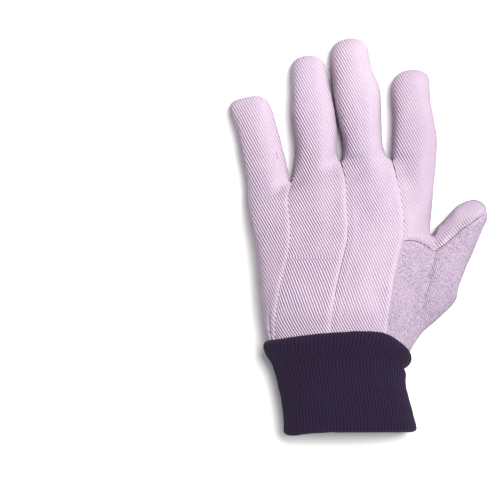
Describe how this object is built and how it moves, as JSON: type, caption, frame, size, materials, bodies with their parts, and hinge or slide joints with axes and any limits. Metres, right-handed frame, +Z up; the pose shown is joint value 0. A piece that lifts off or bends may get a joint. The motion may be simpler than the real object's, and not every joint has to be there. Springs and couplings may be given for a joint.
{
  "type": "cotton work glove",
  "caption": "Left-hand cotton drill work glove with a rib-knit wrist, sewn from a one-piece palm and strips over the back, lying palm down and open at the wrist.",
  "frame": {"origin": "middle of the glove's box in X and Y, on the surface that it lies on", "axes": "+Z up out of the back of the hand, +Y from the wrist to the fingertips, +X towards the thumb"},
  "size_m": [0.1646, 0.2548, 0.0407],
  "materials": {
    "palm_drill": "matte twill-woven cotton drill, faintly lilac off-white",
    "back_drill": "matte twill-woven cotton drill with raised diagonal ridges",
    "thumb_drill": "matte brushed cotton drill",
    "rib_knit": "matte rib knit, dark navy violet"
  },
  "bodies": {
    "root": {"palm_panel": "palm_drill", "ring_back_panel": "back_drill", "middle_back_panel": "back_drill", "thumb_back_panel": "thumb_drill", "knit_cuff": "rib_knit"}
  },
  "joints": []
}
